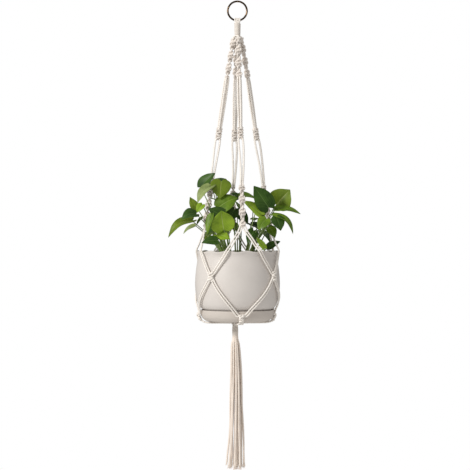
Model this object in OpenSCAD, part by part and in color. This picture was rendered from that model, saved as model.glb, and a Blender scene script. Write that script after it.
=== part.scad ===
// Hanging macrame planter: brass ring, knotted cotton-cord hanger, pot on a
// saucer, trailing plant and a tassel. The origin is the inside top of the
// ring, where the hook seats. +Z is up and -Y is the front.

/* [Ring] */
// Mean radius of the brass ring
ring_r = 21.5; // [20:0.5:24]
// Radius of the ring's wire
wire_r = 2; // [1.5:0.1:2.2]

/* [Cord] */
// Diameter of the cotton cord
cord_d = 4; // [3:0.1:4.4]
// Distance between the two cords of a pair
pair_gap = 4.7; // [4.5:0.1:5.2]
// Turn of the four arms about the vertical axis, in degrees
arms_turn = 9; // [0:1:20]

/* [Knots] */
// Radius of the spiral knotting at the top of each arm
spiral_r = 5.2; // [4:0.1:5.4]
// Radius of the spiral knotting at the foot of each arm
sennit_r = 6; // [5:0.1:7]
// Half the width of a square knot
knot_r = 7; // [6:0.1:8]

/* [Pot] */
// Height of the pot's lip below the origin
lip_z = 560; // [558:1:562]
// Number of waves around the lip
lip_waves = 13; // [9:1:16]
// Depth of each wave of the lip
lip_dip = 3; // [1:0.5:4]
// Depth of the soil below the lip
soil_drop = 18; // [14:1:24]

/* [Saucer] */
// Height of the saucer's underside below the origin
saucer_z = 717.5; // [717:0.5:718]
// Radius of the saucer's rim
saucer_r = 82; // [80:0.5:83]

/* [Tassel] */
// Length of the loose strands
tassel_len = 290; // [200:10:320]
// Radius of the tassel at its cut ends
tassel_r = 22; // [16:1:26]

/* [Plant] */
// Thickness of a leaf
leaf_t = 1.2; // [1:0.1:2]
// Diameter of a leaf stalk
stalk_d = 2.6; // [2:0.1:3]

/* [Hidden] */
arm_names = ["front", "right", "back", "left"];
knot_names = ["front_left", "front_right", "back_right", "back_left"];

cotton = [0.90, 0.86, 0.80];
brass = [0.72, 0.58, 0.36];
glaze = [0.88, 0.85, 0.82];
green = [0.27, 0.45, 0.14];

// Heights along the centre line, all below the origin
ring_z = -(ring_r - wire_r);
wire_low_z = ring_z - ring_r;
loop_inner_r = wire_r + 0.3;
loop_outer_r = loop_inner_r + cord_d - 0.1;
wrap_top_z = wire_low_z - loop_outer_r - 0.4;
wrap_foot_z = -75;
spiral_top_z = -80;
spiral_foot_z = -171;
mid_top_z = -285;
mid_foot_z = -309;
sennit_top_z = -413;
sennit_foot_z = -505;

// Distance of an arm from the centre line at the knotting's top and foot
arm_top_r = 8.4;
arm_knee_r = 24;
arm_foot_r = 73;
spiral_tilt = atan((arm_knee_r - arm_top_r) / (spiral_top_z - spiral_foot_z));
arm_tilt = atan((arm_foot_r - arm_knee_r) / (spiral_foot_z - sennit_foot_z));

// Routes of the net, by hand: height, share of the 45 degree turn, radius
net_route = [
    [-505, 0.06, 73], [-518, 0.15, 77], [-531, 0.28, 82], [-545, 0.39, 88],
    [-557, 0.49, 94.8], [-566, 0.56, 95.4], [-576, 0.64, 95.6],
    [-586, 0.73, 96.4], [-596, 0.82, 97.4], [-608, 0.93, 98.6]];
cradle_route = [
    [-622, 0.94, 99.4], [-632, 0.86, 99.8], [-643, 0.76, 99.8],
    [-655, 0.64, 99.2], [-666, 0.52, 97.8], [-677, 0.40, 95.6],
    [-688, 0.28, 92.6], [-700, 0.14, 88.4]];
// Route under the saucer: share of the way to the middle, height
base_route = [
    [0, -714.5], [0.08, -718.6], [0.2, -720.2], [0.4, -720.6], [0.6, -720.6], [0.84, -720.8]];

side_knot_z = -615;
side_knot_r = 99.5;
rim_turn = 6;
rim_knot_z = -707;
rim_knot_r = 86;
rim_knot_tilt = 24;
rim_foot_r = 81;

// The wrap and the tassel hang a little left of the centre line
gather_x = -5;
gather_z = -720.8;
gather_r = 11;
bottom_wrap_r = 6.3;
wrap_pivot_z = -731;
bottom_wrap_foot_z = -750.5;
tassel_pivot_z = -757.4;
tassel_head_r = 6.2;

function arm_angle(i) = -90 + 90 * i + arms_turn;
function rim_angle(i) = -90 + 90 * i + rim_turn;
function knot_angle(i) = -135 + 90 * i + arms_turn;
function polar(r, a, z) = [r * cos(a), r * sin(a), z];
function unit(v) = v / norm(v);
function along(z) = (spiral_foot_z - z) / cos(arm_tilt);

// A point of the net on side s (-1 or 1) for cord c (-0.5 or 0.5) of a pair;
// lean is 1 where the pair parts from its arm going down, -1 where it returns
function on_net(s, c, p, turn, lean) =
    let (a = turn + s * 45 * p[1])
    polar(p[2], a + s * c * 0.82 * pair_gap * 57.3 / p[2], p[0] + lean * c * 0.56 * pair_gap);
function net_path(i, s, c) = [for (p = net_route) on_net(s, c, p, arm_angle(i), 1)];
function cradle_turn(i, p) = arm_angle(i) + (rim_turn - arms_turn) * (1 - p[1]);
function cradle_path(i, s, c) =
    [for (p = cradle_route) on_net(s, c, p, cradle_turn(i, p), -1)];
function base_path(i, k) =
    let (a = rim_angle(i), foot = polar(rim_foot_r, a, 0), mid = [gather_x, 0, 0])
    let (side = polar((k - 1.5) * (cord_d + 0.1), a + 90, 0))
    [for (p = base_route)
        foot * (1 - p[0]) + mid * p[0] + side + [0, 0, p[1]]];

// A tube of equal sides swept along a list of points
module tube(path, d, sides = 8) {
    n = len(path);
    dirs = [for (i = [0:n - 1])
        unit(path[min(i + 1, n - 1)] - path[max(i - 1, 0)])];
    ref = abs(dirs[0][2]) > 0.9 ? [1, 0, 0] : [0, 0, 1];
    pts = [for (i = [0:n - 1])
        let (u = unit(cross(dirs[i], ref)), v = cross(dirs[i], u))
        for (k = [0:sides - 1])
            path[i] + d / 2 * (cos(360 * k / sides) * u + sin(360 * k / sides) * v)];
    sides_f = [for (i = [0:n - 2])
        for (k = [0:sides - 1])
            let (a = i * sides + k, b = i * sides + (k + 1) % sides)
            [a, b, b + sides, a + sides]];
    start_f = [[for (k = [0:sides - 1]) sides - 1 - k]];
    end_f = [[for (k = [0:sides - 1]) (n - 1) * sides + k]];
    polyhedron(pts, concat(sides_f, start_f, end_f), convexity = 6);
}

// A knotted stretch hanging down -Z: a round bar with one bulge per knot
module knotting(length, r, bulges, swell, taper = 0.72) {
    steps = bulges * 6;
    ends = [for (i = [0:steps])
        let (t = i / steps)
        let (shoulder = taper + (1 - taper) * min(1, 5 * t, 5 * (1 - t)))
        [shoulder * (r + swell * (abs(sin(180 * bulges * t)) - 1)), -length * t]];
    rotate_extrude($fn = 48)
        polygon(concat([[0, 0]], ends, [[0, -length]]));
}

// Places a child in the frame of arm i, hanging down its -Z axis from height z
module on_arm(i, z) {
    rotate([0, 0, arm_angle(i)])
        translate([arm_knee_r, 0, spiral_foot_z])
            rotate([0, -arm_tilt, 0])
                translate([0, 0, -along(z)])
                    children();
}

module ring() {
    color(brass)
        translate([0, 0, ring_z])
            rotate([90, 0, 0])
                rotate_extrude($fn = 96)
                    translate([ring_r, 0])
                        circle(wire_r, $fn = 48);
}

module ring_loops() {
    color(cotton)
        translate([0, 0, ring_z])
            rotate([90, 0, 0])
                rotate([0, 0, -110])
                    rotate_extrude(angle = 40, $fn = 96)
                        translate([ring_r, 0])
                            difference() {
                                circle(loop_outer_r, $fn = 48);
                                circle(loop_inner_r, $fn = 48);
                            }
}

module top_wrap() {
    turns = 6;
    height = wrap_top_z - wrap_foot_z;
    color(cotton)
        translate([0, 0, wrap_top_z])
            rotate_extrude($fn = 48)
                polygon(concat(
                    [[4.4, 0]],
                    [for (i = [0:turns * 6])
                        let (t = i / (turns * 6))
                        [7.4 - 1.4 * t + 0.5 * abs(sin(180 * turns * t)), -height * t]],
                    [[4.4, -height]]));
}

module cord_bundle() {
    color(cotton)
        rotate_extrude($fn = 48)
            polygon([[0, wrap_top_z], [4.4, wrap_top_z], [4.4, wrap_foot_z],
                [7.5, wrap_foot_z - 2], [8, spiral_top_z], [0, spiral_top_z]]);
}

module spiral(i) {
    color(cotton)
        rotate([0, 0, arm_angle(i)])
            translate([arm_top_r, 0, spiral_top_z])
                rotate([0, -spiral_tilt, 0])
                    knotting((spiral_top_z - spiral_foot_z) / cos(spiral_tilt), spiral_r, 8, 0.7);
}

// Four parallel cords; spread is how far the two pairs stand apart
module four_cords(i, z_top, z_foot, spread, spin) {
    color(cotton)
        on_arm(i, z_top)
            rotate([0, 0, spin])
                for (x = [-1, 1], y = [-1, 1])
                    translate([x * spread / 2, y * pair_gap / 2, -(z_top - z_foot) / cos(arm_tilt)])
                        cylinder(d = cord_d, h = (z_top - z_foot) / cos(arm_tilt), $fn = 32);
}

module upper_cords(i) {
    four_cords(i, spiral_foot_z, mid_top_z, pair_gap, 25);
}

module mid_knot(i) {
    color(cotton)
        on_arm(i, mid_top_z)
            knotting((mid_top_z - mid_foot_z) / cos(arm_tilt), knot_r + 0.6, 2, 0.9, 0.75);
}

module lower_cords(i) {
    four_cords(i, mid_foot_z, sennit_top_z, 7.4, i % 2 == 0 ? 90 : 0);
}

module sennit(i) {
    color(cotton)
        on_arm(i, sennit_top_z)
            knotting((sennit_top_z - sennit_foot_z) / cos(arm_tilt), sennit_r, 8, 0.8, 0.9);
}

module net_cords(i) {
    color(cotton)
        for (s = [-1, 1], c = [-0.5, 0.5])
            tube(net_path(i, s, c), cord_d);
}

// The space of the pot and saucer, with room around them, cut from the knots
module keep_out() {
    rotate_extrude($fn = 96)
        polygon([for (p = pot_outline) p + [0.5, 0]]);
    rotate_extrude($fn = 96)
        polygon([[0, -689], [saucer_r + 0.4, -689], [saucer_r + 0.2, -700], [saucer_r - 2, -707],
            [saucer_r - 13, -718], [0, -718]]);
}

module side_knot(i) {
    color(cotton)
        difference() {
            translate(polar(side_knot_r, knot_angle(i), side_knot_z + 9.5))
                knotting(19, knot_r, 2, 0.9, 0.75);
            keep_out();
        }
}

module cradle_cords(i) {
    color(cotton)
        for (s = [-1, 1], c = [-0.5, 0.5])
            tube(cradle_path(i, s, c), cord_d);
}

module rim_knot(i) {
    color(cotton)
        difference() {
            rotate([0, 0, rim_angle(i)])
                translate([rim_knot_r, 0, rim_knot_z])
                    rotate([0, rim_knot_tilt, 0])
                        translate([0, 0, 9.5])
                            knotting(19, knot_r - 0.4, 2, 0.9, 0.75);
            keep_out();
        }
}

module base_cords(i) {
    color(cotton)
        for (k = [0:3])
            tube(base_path(i, k), cord_d);
}

module base_gather() {
    color(cotton)
        translate([gather_x, 0, gather_z])
            rotate_extrude($fn = 48)
                polygon([[0, 2.6], [gather_r - 1, 2.6], [gather_r, 1], [gather_r, -1.4],
                    [gather_r - 3, -2.6], [0, -2.6]]);
}

module bottom_wrap() {
    turns = 5;
    height = wrap_pivot_z - bottom_wrap_foot_z;
    dome_r = bottom_wrap_r;
    color(cotton)
        translate([gather_x, 0, wrap_pivot_z])
            rotate_extrude($fn = 48)
                polygon(concat(
                    [for (a = [90:-10:0]) dome_r * [cos(a), sin(a)]],
                    [for (i = [1:turns * 6])
                        let (t = i / (turns * 6))
                        [dome_r + 0.5 * abs(sin(180 * turns * t)), -height * t]],
                    [[0, -height]]));
}

module tassel() {
    color(cotton)
        translate([gather_x, 0, tassel_pivot_z])
            rotate_extrude($fn = 48)
                polygon(concat(
                    [for (a = [90:-10:0]) tassel_head_r * [cos(a), sin(a)]],
                    [[8.6, -18], [10.6, -44], [12.2, -100], [14.5, -150],
                        [17.6, -215], [tassel_r, -tassel_len], [0, -tassel_len]]));
}

module saucer() {
    top = -691.5;
    foot = -saucer_z;
    color(glaze)
        rotate_extrude($fn = 128)
            polygon([[0, foot], [saucer_r - 14, foot], [saucer_r - 3, foot + 10],
                [saucer_r - 0.8, foot + 16], [saucer_r, top], [saucer_r - 3, top],
                [saucer_r - 4, foot + 14], [saucer_r - 10, foot + 5], [saucer_r - 15, foot + 3],
                [0, foot + 3]]);
}

// The pot's outer outline, from the middle of its foot up to the lip
pot_foot_z = 3.3 - saucer_z;
pot_outline = [
    [0, pot_foot_z], [66, pot_foot_z], [69.5, pot_foot_z + 4], [72.5, -697], [78, -690.5],
    [83, -687], [88, -680], [92, -668], [94.8, -650], [95.6, -634], [94.8, -615],
    [92.6, -595], [90, -580], [89, -572], [89.6, -565], [91.6, 2 - lip_z], [91.6, 1 - lip_z],
    [0, 1 - lip_z]];
pot_inside = [
    [0, pot_foot_z + 5], [62, pot_foot_z + 5], [68, pot_foot_z + 11], [76, -686],
    [83.5, -678], [88, -666], [90.8, -650], [91.6, -634], [90.8, -615],
    [88.6, -595], [86, -580], [85, -572]];

module pot() {
    wave_w = 180 / lip_waves;
    half_chord = 91.6 * tan(wave_w);
    cut_r = (half_chord * half_chord + lip_dip * lip_dip) / (2 * lip_dip);
    color(glaze)
        difference() {
            rotate_extrude($fn = 128)
                polygon(pot_outline);
            rotate_extrude($fn = 128)
                polygon(concat(pot_inside, [[86, -565], [87.6, 5 - lip_z], [0, 5 - lip_z]]));
            for (k = [0:lip_waves - 1])
                rotate([0, 0, -90 + 360 * k / lip_waves])
                    translate([70, 0, 1 - lip_z - lip_dip + cut_r])
                        rotate([0, 90, 0])
                            cylinder(r = cut_r, h = 40, $fn = 96);
            for (k = [0:4])
                rotate([0, 0, 72 * k])
                    translate([28, 0, pot_foot_z - 1])
                        cylinder(d = 9, h = 7, $fn = 32);
        }
}

module soil() {
    top = -lip_z - soil_drop;
    color([0.20, 0.15, 0.11])
        rotate_extrude($fn = 96)
            polygon(concat([for (p = pot_inside) if (p[1] < top) [max(0, p[0] - 0.4), p[1] + 0.3]],
                [[85.2, top], [60, top + 3], [0, top + 4]]));
}

// Leaves, by hand: leaf base, tip, width, the way the upper face looks, and
// the direction in degrees in which the stalk leaves the middle of the pot
upper_left = [
    [[-82, -22, -417], [-50, -34, -386], 34, [-0.3, -0.8, 0.6], 214],
    [[-50, 18, -410], [-24, 34, -397], 26, [0, -0.3, 1], 150],
    [[-36, -38, -404], [-40, -50, -443], 44, [0.1, -0.9, 0.4], 239],
    [[-56, -42, -415], [-88, -58, -454], 27, [-0.4, -0.7, 0.55], 222],
    [[-91, 12, -464], [-107, 4, -438], 21, [-0.5, -0.8, 0.3], 170],
    [[-42, -46, -462], [0, -38, -440], 40, [0.1, -0.9, 0.5], 228],
    [[-78, -34, -456], [-90, -42, -474], 18, [-0.2, -0.9, 0.4], 195]];
lower_left = [
    [[-92, -26, -477], [-124, -36, -489], 34, [-0.3, -0.7, 0.7], 218],
    [[-102, 16, -492], [-155, -4, -530], 26, [-0.3, -0.75, 0.6], 160],
    [[-96, 42, -502], [-123, 46, -521], 14, [-0.2, -0.6, 0.8], 156],
    [[-30, -58, -484], [-64, -66, -466], 32, [-0.1, -0.9, 0.4], 243],
    [[-56, -78, -480], [-66, -84, -522], 20, [-0.7, -0.7, 0.2], 227],
    [[-44, -84, -536], [-78, -92, -541], 24, [0, -0.8, 0.6], 246]];
centre = [
    [[-27, -70, -512], [-33, -93, -471], 54, [0.1, -0.95, 0.35], 251],
    [[-46, -62, -522], [-16, -70, -533], 26, [0, -0.8, 0.6], 234],
    [[-8, -8, -448], [42, -16, -443], 31, [0.1, -0.5, 0.9], 225],
    [[53, -44, -479], [12, -44, -448], 27, [0.3, -0.8, 0.6], 313],
    [[0, 6, -470], [24, -6, -500], 26, [0.2, -0.9, 0.4], 90],
    [[8, 18, -470], [-14, 44, -442], 34, [0, 0.4, 0.9], 60]];
right = [
    [[69, -38, -462], [36, -50, -415], 42, [-0.2, -0.9, 0.5], 324],
    [[88, -4, -455], [118, -11, -422], 52, [0.15, -0.9, 0.4], 343],
    [[84, -18, -467], [141, -20, -477], 27, [0.3, -0.5, 0.85], 338],
    [[80, -32, -481], [123, -40, -522], 25, [0.5, -0.5, 0.75], 336],
    [[86, -46, -484], [96, -54, -514], 30, [0.3, -0.9, 0.3], 329]];
lower_right = [
    [[64, -50, -488], [46, -58, -512], 28, [-0.1, -0.85, 0.5], 319],
    [[60, -54, -553], [42, -46, -529], 14, [0.2, -0.9, 0.4], 318],
    [[68, 8, -552], [97, 12, -538], 18, [0.1, -0.8, 0.6], 7]];
back = [
    [[40, 62, -490], [66, 96, -500], 34, [0.4, 0.5, 0.8], 57],
    [[-44, 60, -484], [-70, 96, -505], 34, [-0.4, 0.6, 0.7], 128],
    [[36, 48, -460], [58, 78, -446], 30, [0.3, 0.6, 0.8], 50],
    [[-38, 48, -456], [-62, 78, -440], 30, [-0.3, 0.6, 0.8], 136],
    [[52, 58, -516], [76, 84, -544], 24, [0.5, 0.6, 0.6], 48],
    [[-54, 56, -516], [-74, 84, -540], 26, [-0.5, 0.6, 0.6], 134]];
inner = [
    [[6, -4, -440], [-18, -12, -432], 16, [0, -0.6, 0.8], 326],
    [[-6, -22, -466], [-18, -36, -494], 28, [0, -0.9, 0.4], 255],
    [[-40, -20, -500], [-22, -30, -528], 26, [0, -0.9, 0.4], 202],
    [[-54, -30, -500], [-66, -48, -524], 22, [-0.3, -0.8, 0.5], 209],
    [[36, -36, -514], [22, -46, -542], 24, [0.1, -0.9, 0.4], 304],
    [[70, -22, -506], [84, -30, -530], 24, [0.3, -0.8, 0.5], 347],
    [[44, -24, -460], [58, -34, -486], 28, [0.3, -0.8, 0.5], 304],
    [[-20, 20, -500], [4, 34, -516], 28, [0, 0.5, 0.8], 135],
    [[30, 24, -498], [52, 34, -514], 28, [0.3, 0.4, 0.8], 39],
    [[-70, 24, -484], [-92, 30, -500], 26, [-0.4, 0.2, 0.9], 163]];

// Half width of a heart-shaped leaf at share t of its length
function leaf_half(t) = 0.5 * pow(sin(180 * pow(t, 0.62)), 0.75);

module leaf(row) {
    length = norm(row[1] - row[0]);
    x = unit(row[1] - row[0]);
    y = unit(cross(row[3], x));
    z = cross(x, y);
    steps = 9;
    edge = [for (i = [1:steps - 1]) [length * i / steps, row[2] * leaf_half(i / steps)]];
    back = [for (i = [1:steps - 1]) [edge[steps - 1 - i][0], -edge[steps - 1 - i][1]]];
    multmatrix([[x[0], y[0], z[0], row[0][0]], [x[1], y[1], z[1], row[0][1]],
            [x[2], y[2], z[2], row[0][2]], [0, 0, 0, 1]])
        translate([0, 0, -leaf_t / 2])
            linear_extrude(leaf_t)
                polygon(concat([[0, 0]], edge, [[length, 0]], back));
}

module leaves(rows) {
    color(green)
        for (row = rows)
            leaf(row);
}

// A stalk leaves the soil, arches outwards and ends at a leaf's base
module stalk(row) {
    base = row[0];
    out_r = min(54, norm([base[0], base[1]]));
    share = 0.4 + 0.3 * (-base[2] % 37) / 37;
    foot = polar(share * out_r, row[4], -lip_z - soil_drop - 2);
    bend = polar(out_r, row[4], foot[2] + 0.55 * (base[2] - foot[2]));
    tube([for (t = [0:0.125:1])
        pow(1 - t, 2) * foot + 2 * t * (1 - t) * bend + t * t * base], stalk_d, 6);
}

module stems() {
    color([0.45, 0.55, 0.22])
        for (row = concat(upper_left, lower_left, centre, right, lower_right, back, inner))
            stalk(row);
}

ring();
ring_loops();
top_wrap();
cord_bundle();
for (i = [0:3]) {
    spiral(i);
    upper_cords(i);
    mid_knot(i);
    lower_cords(i);
    sennit(i);
    net_cords(i);
    side_knot(i);
    cradle_cords(i);
    rim_knot(i);
    base_cords(i);
}
base_gather();
bottom_wrap();
tassel();
saucer();
pot();
soil();
stems();
leaves(upper_left);  // upper_left_leaves
leaves(lower_left);  // lower_left_leaves
leaves(centre);  // centre_leaves
leaves(right);  // right_leaves
leaves(lower_right);  // lower_right_leaves
leaves(back);  // back_leaves
leaves(inner);  // inner_leaves
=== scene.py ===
import math
import random

import bpy
import numpy as np
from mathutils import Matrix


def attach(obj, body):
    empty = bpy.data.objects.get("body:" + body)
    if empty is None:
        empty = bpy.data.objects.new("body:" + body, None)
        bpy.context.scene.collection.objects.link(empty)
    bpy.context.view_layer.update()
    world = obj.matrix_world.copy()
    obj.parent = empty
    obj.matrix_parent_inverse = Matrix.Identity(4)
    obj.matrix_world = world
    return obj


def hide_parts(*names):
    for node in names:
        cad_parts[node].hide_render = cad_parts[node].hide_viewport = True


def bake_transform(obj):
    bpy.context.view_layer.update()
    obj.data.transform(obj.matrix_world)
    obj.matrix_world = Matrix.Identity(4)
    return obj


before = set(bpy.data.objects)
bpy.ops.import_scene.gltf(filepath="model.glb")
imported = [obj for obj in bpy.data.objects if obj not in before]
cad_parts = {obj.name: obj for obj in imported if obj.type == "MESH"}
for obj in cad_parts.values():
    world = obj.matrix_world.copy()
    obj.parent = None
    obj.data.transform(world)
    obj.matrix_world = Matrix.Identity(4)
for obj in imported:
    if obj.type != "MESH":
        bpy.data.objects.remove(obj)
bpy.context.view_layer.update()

MM = 0.001
ARMS = ["front", "right", "back", "left"]
SIDE_KNOTS = ["front_left", "front_right", "back_right", "back_left"]

# Millimetres. The ring's wire and the saucer are a little larger than the frame's
RING_R, WIRE_R = 21.5, 2.1
RING_Z = -19.5
WRAP_TOP_Z, WRAP_FOOT_Z = -47.6, -75.0
SPIRAL_TOP_Z, SPIRAL_FOOT_Z = -80.0, -171.0
MID_TOP_Z, MID_FOOT_Z = -285.0, -309.0
SENNIT_TOP_Z, SENNIT_FOOT_Z = -413.0, -505.0
ARM_TOP_R, ARM_KNEE_R, ARM_FOOT_R = 8.4, 24.0, 73.0
ARMS_TURN, RIM_TURN = 9.0, 6.0
CORD_D, PAIR_GAP = 4.0, 4.7
SIDE_KNOT_Z, SIDE_KNOT_R = -615.0, 99.5
RIM_KNOT_Z, RIM_KNOT_R, RIM_KNOT_TILT, RIM_FOOT_R = -707.0, 86.0, 24.0, 81.0
GATHER_X, GATHER_Z = -5.0, -720.8
WRAP_PIVOT_Z, BOTTOM_WRAP_FOOT_Z = -731.0, -750.5
TASSEL_PIVOT_Z, TASSEL_LEN = -757.4, 290.0
LIP_Z, SOIL_DROP, LIP_WAVES = -560.0, 18.0, 13
SAUCER_Z, SAUCER_R = -717.5, 83.4

# How far an arm's lower cords drift to the right, and how wide its upper cords lie
LOWER_DRIFT = [2.0, 1.4, 2.0, 0.0]
UPPER_WIDTH = [1.0, 0.84, 1.0, 1.12]
# Routes of the net: height, share of the 45 degree turn, radius
NET_ROUTE = [
    (-505, 0.06, 73), (-518, 0.15, 77), (-531, 0.28, 82), (-545, 0.39, 88),
    (-557, 0.49, 94.8), (-566, 0.56, 95.4), (-576, 0.64, 95.6),
    (-586, 0.73, 96.4), (-596, 0.82, 97.4), (-608, 0.93, 98.6)]
CRADLE_ROUTE = [
    (-622, 0.94, 99.4), (-632, 0.86, 99.8), (-643, 0.76, 99.8),
    (-655, 0.64, 99.2), (-666, 0.52, 97.6), (-677, 0.40, 94.4),
    (-688, 0.28, 89.8), (-700, 0.14, 86.8)]
# Route under the saucer: share of the way to the middle, height
BASE_ROUTE = [
    (0, -714.5), (0.08, -718.6), (0.2, -720.2), (0.4, -720.6), (0.6, -720.6), (0.84, -720.8)]


# ---------------------------------------------------------------- geometry

def vec(*values):
    return np.array(values, float)


def unit(v):
    return v / np.linalg.norm(v)


def polar(r, degrees, z):
    a = math.radians(degrees)
    return vec(r * math.cos(a), r * math.sin(a), z)


def arm_angle(i):
    return -90 + 90 * i + ARMS_TURN


def rim_angle(i):
    return -90 + 90 * i + RIM_TURN


def side_angle(i):
    return -135 + 90 * i + ARMS_TURN


def smooth_path(points, step):
    """A Catmull-Rom curve through the points, sampled evenly about every step."""
    p = np.array(points, float)
    p = np.vstack([2 * p[0] - p[1], p, 2 * p[-1] - p[-2]])
    fine = []
    for a, b, c, d in zip(p, p[1:], p[2:], p[3:]):
        n = max(3, int(np.linalg.norm(c - b) / 0.6))
        t = np.linspace(0, 1, n, endpoint=False)[:, None]
        fine.append(0.5 * (2 * b + (c - a) * t + (2 * a - 5 * b + 4 * c - d) * t ** 2
                           + (3 * b - a - 3 * c + d) * t ** 3))
    fine = np.vstack(fine + [p[-2:-1]])
    s = np.concatenate([[0], np.cumsum(np.linalg.norm(np.diff(fine, axis=0), axis=1))])
    even = np.linspace(0, s[-1], max(3, int(round(s[-1] / step)) + 1))
    return np.stack([np.interp(even, s, fine[:, k]) for k in range(3)], axis=1)


class Shape:
    """Vertices, faces and texture coordinates gathered for one mesh."""

    def __init__(self):
        self.verts, self.faces, self.uvs, self.count = [], [], [], 0

    def add(self, verts, faces, uvs=None):
        verts = np.asarray(verts, float)
        self.verts.append(verts)
        self.uvs.append(np.zeros((len(verts), 2)) if uvs is None else np.asarray(uvs, float))
        self.faces += [tuple(k + self.count for k in f) for f in faces]
        self.count += len(verts)

    def piece(self, name, material, body=None, nodes=()):
        mesh = bpy.data.meshes.new(name)
        mesh.from_pydata((np.vstack(self.verts) * MM).tolist(), [], self.faces)
        layer = mesh.uv_layers.new(name="UVMap")
        uvs = np.vstack(self.uvs)
        corner = np.empty(len(mesh.loops), np.int32)
        mesh.loops.foreach_get("vertex_index", corner)
        layer.data.foreach_set("uv", uvs[corner].astype(np.float32).ravel())
        mesh.shade_smooth()
        mesh.update()
        mesh.materials.append(material)
        obj = bpy.data.objects.new(name, mesh)
        bpy.context.scene.collection.objects.link(obj)
        if body:
            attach(obj, body)
        if nodes:
            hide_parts(*nodes)
        return obj


def sweep(shape, path, radius, sides=8, groove=0.0, plies=3, pitch=13.0, phase=0.0, caps=True):
    """Adds a tube along the path. With a groove it is a rope of twisted plies."""
    path = np.asarray(path, float)
    n = len(path)
    radius = np.broadcast_to(np.asarray(radius, float), (n,))
    tangent = np.gradient(path, axis=0)
    tangent /= np.linalg.norm(tangent, axis=1)[:, None]
    s = np.concatenate([[0], np.cumsum(np.linalg.norm(np.diff(path, axis=0), axis=1))])
    u = np.cross(tangent[0], [0.31, 0.95, 0.05])
    u = unit(u)
    k = np.arange(sides)
    angle = 2 * math.pi * k / sides
    off = np.abs((angle * plies / (2 * math.pi)) % 1 - 0.5) * 2
    rim = 1 - groove * (1 - off) ** 2.0 if groove else np.ones(sides)
    verts = np.empty((n, sides, 3))
    for i in range(n):
        t = tangent[i]
        u = unit(u - t * np.dot(u, t))
        v = np.cross(t, u)
        a = angle + phase + (2 * math.pi * s[i] / pitch if groove else 0.0)
        ring = np.cos(a)[:, None] * u + np.sin(a)[:, None] * v
        verts[i] = path[i] + radius[i] * rim[:, None] * ring
    uv = np.stack([np.tile(k / sides, n), np.repeat(s / 10, sides)], axis=1)
    a = (np.arange(n - 1)[:, None] * sides + k).ravel()
    b = (np.arange(n - 1)[:, None] * sides + (k + 1) % sides).ravel()
    faces = np.stack([a, b, b + sides, a + sides], axis=1).tolist()
    verts = verts.reshape(-1, 3)
    if caps:
        verts = np.vstack([verts, path[0] - tangent[0] * radius[0] * 0.3,
                           path[-1] + tangent[-1] * radius[-1] * 0.3])
        uv = np.vstack([uv, [0.5, 0], [0.5, s[-1] / 10]])
        last = (n - 1) * sides
        faces += [[n * sides, (j + 1) % sides, j] for j in range(sides)]
        faces += [[n * sides + 1, last + j, last + (j + 1) % sides] for j in range(sides)]
    shape.add(verts, faces, uv)


def rope(shape, points, radius=CORD_D / 2, step=1.15, sides=12, phase=0.0, pitch=13.0, groove=0.26):
    """Adds a three-ply cord along a smooth curve through the points; returns its path."""
    path = smooth_path(points, step)
    sweep(shape, path, radius, sides, groove, 3, pitch, phase)
    return path


def revolve(shape, profile, segments, wave=None):
    """Adds a surface of revolution. wave(degrees, r, z) may move each point."""
    n = len(profile)
    verts, uv = [], []
    for k in range(segments):
        a = 360 * k / segments
        for j, (r, z) in enumerate(profile):
            rr, zz = wave(a, r, z) if wave and r > 0.01 else (r, z)
            verts.append(polar(rr, a, zz))
            uv.append((k / segments, j / n))
    faces = []
    for k in range(segments):
        m = (k + 1) % segments
        for j in range(n - 1):
            a, b = k * n + j, m * n + j
            faces.append((a, b, b + 1, a + 1))
    shape.add(verts, faces, uv)


def fillet(points, steps=5):
    """Rounds a profile: each point becomes a short curve between its neighbours."""
    p = [np.array(q, float) for q in points]
    out = [p[0]]
    for a, b, c in zip(p, p[1:], p[2:]):
        start, end = b + (a - b) * 0.38, b + (c - b) * 0.38
        for t in np.linspace(0, 1, steps):
            out.append((1 - t) ** 2 * start + 2 * t * (1 - t) * b + t * t * end)
    return out + [p[-1]]


# --------------------------------------------------------------- materials

def new_material(name, color, roughness, **sockets):
    material = bpy.data.materials.new(name)
    material.use_nodes = True
    shader = material.node_tree.nodes["Principled BSDF"]
    shader.inputs["Base Color"].default_value = (*color, 1)
    shader.inputs["Roughness"].default_value = roughness
    for key, value in sockets.items():
        shader.inputs[key.replace("_", " ")].default_value = value
    return material, material.node_tree, shader


def noise(tree, vector, scale, detail=4.0, rough=0.55):
    node = tree.nodes.new("ShaderNodeTexNoise")
    node.inputs["Scale"].default_value = scale
    node.inputs["Detail"].default_value = detail
    node.inputs["Roughness"].default_value = rough
    tree.links.new(vector, node.inputs["Vector"])
    return node.outputs["Fac"]


def coordinates(tree, kind, scale=(1, 1, 1)):
    """Object or UV coordinates, stretched by scale."""
    source = tree.nodes.new("ShaderNodeTexCoord")
    mapping = tree.nodes.new("ShaderNodeMapping")
    mapping.inputs["Scale"].default_value = scale
    tree.links.new(source.outputs[kind], mapping.inputs["Vector"])
    return mapping.outputs["Vector"]


def ramp(tree, value, stops):
    node = tree.nodes.new("ShaderNodeValToRGB")
    node.color_ramp.elements[0].position, node.color_ramp.elements[0].color = stops[0][0], (*stops[0][1], 1)
    node.color_ramp.elements[1].position, node.color_ramp.elements[1].color = stops[-1][0], (*stops[-1][1], 1)
    for position, color in stops[1:-1]:
        node.color_ramp.elements.new(position).color = (*color, 1)
    tree.links.new(value, node.inputs["Fac"])
    return node.outputs["Color"]


def bump(tree, shader, height, strength, distance):
    node = tree.nodes.new("ShaderNodeBump")
    node.inputs["Strength"].default_value = strength
    node.inputs["Distance"].default_value = distance
    tree.links.new(height, node.inputs["Height"])
    tree.links.new(node.outputs["Normal"], shader.inputs["Normal"])


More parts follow.
